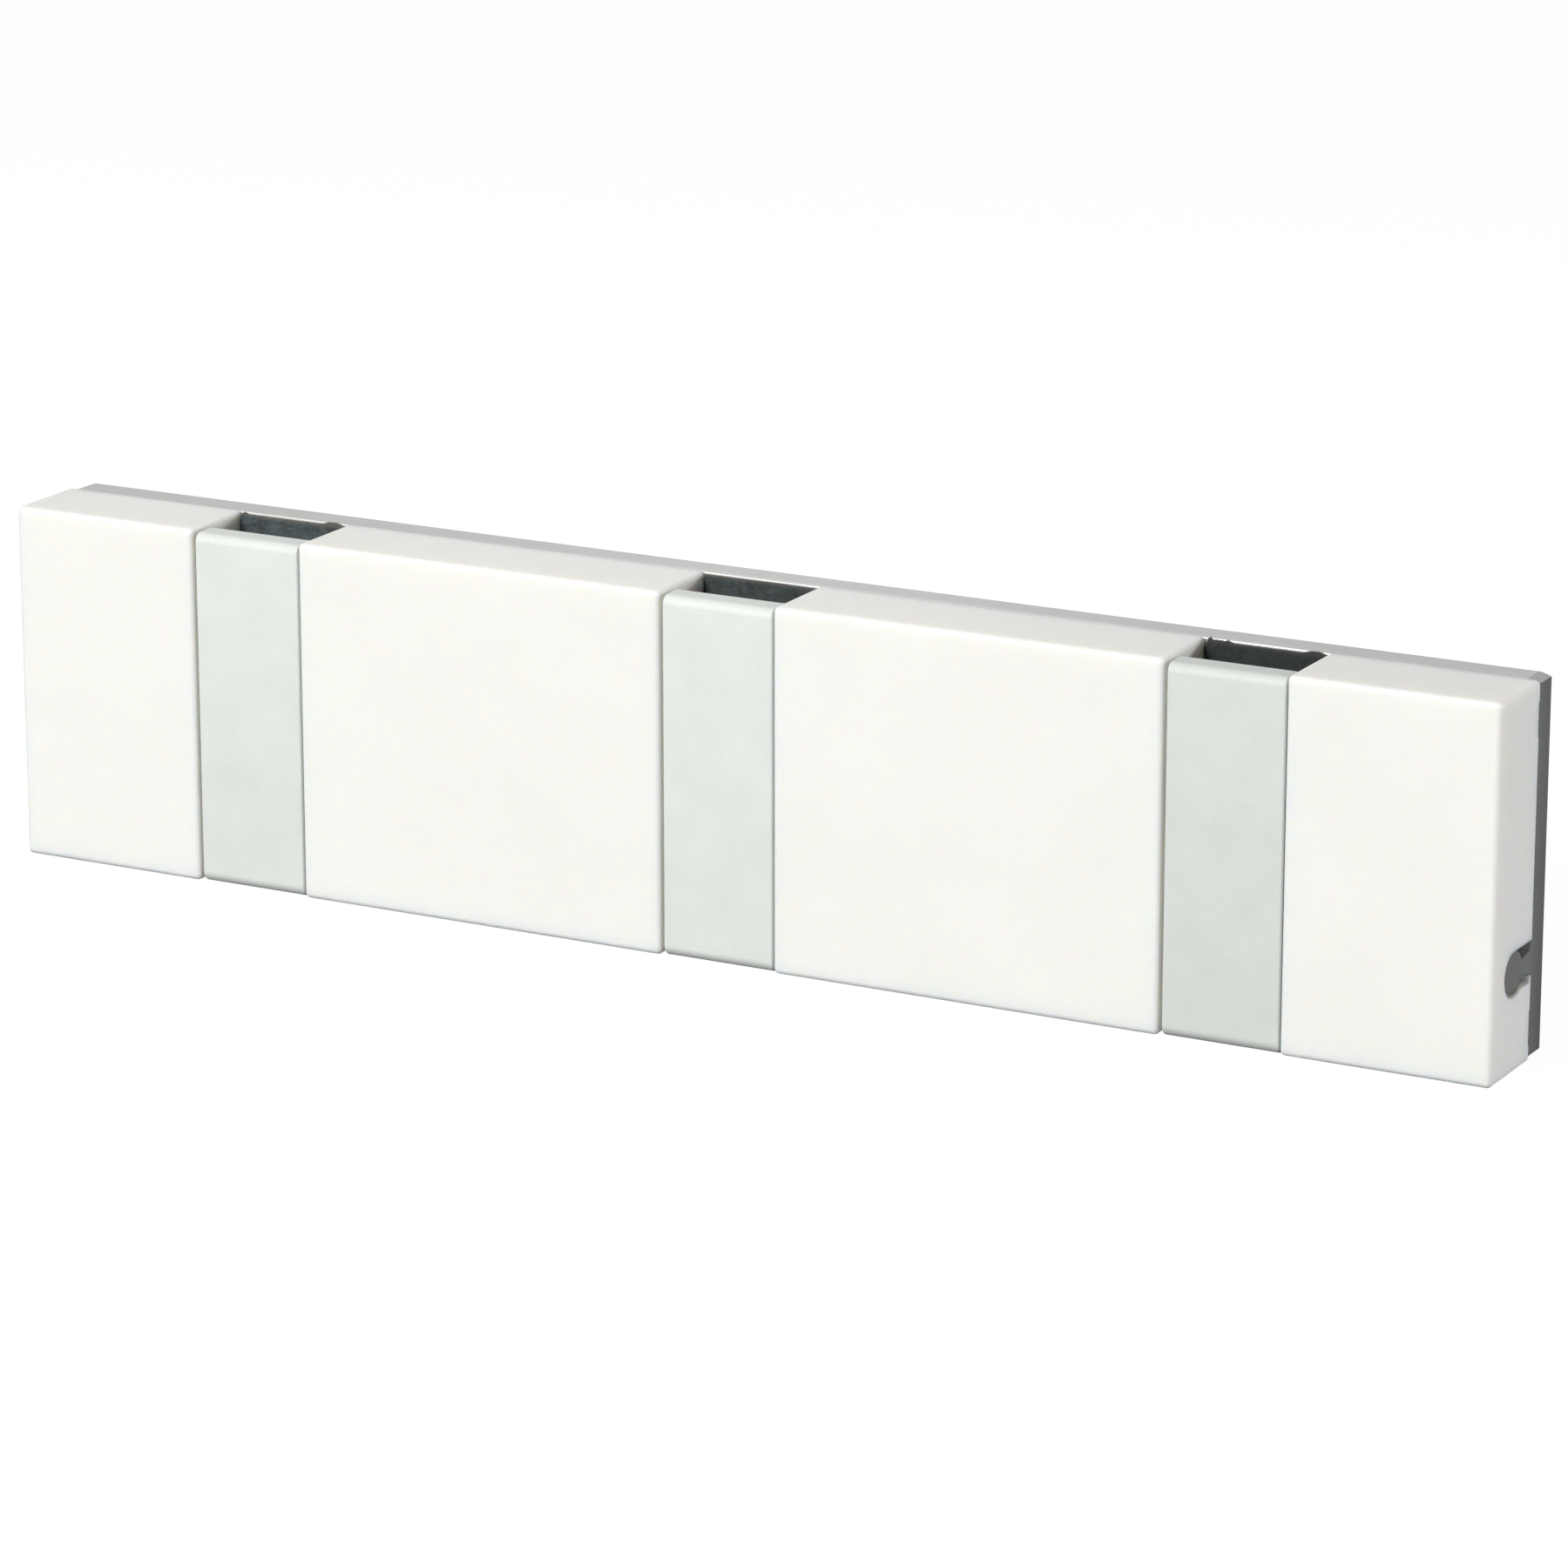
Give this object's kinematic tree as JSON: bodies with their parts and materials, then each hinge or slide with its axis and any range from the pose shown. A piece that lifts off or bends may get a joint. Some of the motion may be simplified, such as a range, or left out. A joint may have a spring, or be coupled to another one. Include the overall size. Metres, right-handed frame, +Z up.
{
  "type": "hook rail",
  "caption": "Wall rail of white blocks on an aluminium back rail, with flush hooks between the blocks that fold out at the top and felt-lined slots behind them.",
  "frame": {"origin": "middle of the rail's flat back face, where it meets the wall", "axes": "+X along the rail to the right as seen from the room, +Y into the wall, +Z up"},
  "size_m": [0.3024, 0.0235, 0.0684],
  "materials": {
    "rail_aluminium": "satin",
    "hook_aluminium": "satin",
    "white_block": "satin",
    "felt": "matte"
  },
  "bodies": {
    "rail": {"rail": "rail_aluminium", "end_block_left": "white_block", "inner_block_left": "white_block", "inner_block_right": "white_block", "end_block_right": "white_block", "felt_pad_left": "felt", "felt_pad_middle": "felt", "felt_pad_right": "felt"},
    "hook_left": {"hook_left": "hook_aluminium"},
    "hook_middle": {"hook_middle": "hook_aluminium"},
    "hook_right": {"hook_right": "hook_aluminium"}
  },
  "joints": [
    {"name": "hook_left_fold", "type": "hinge", "parent": "rail", "child": "hook_left", "pos_m": [-0.1, -0.0135, -0.0161], "axis": [1, 0, 0], "range_deg": [0, 42.5]},
    {"name": "hook_middle_fold", "type": "hinge", "parent": "rail", "child": "hook_middle", "pos_m": [0, -0.0135, -0.0161], "axis": [1, 0, 0], "range_deg": [0, 42.5]},
    {"name": "hook_right_fold", "type": "hinge", "parent": "rail", "child": "hook_right", "pos_m": [0.1, -0.0135, -0.0161], "axis": [1, 0, 0], "range_deg": [0, 42.5]}
  ]
}
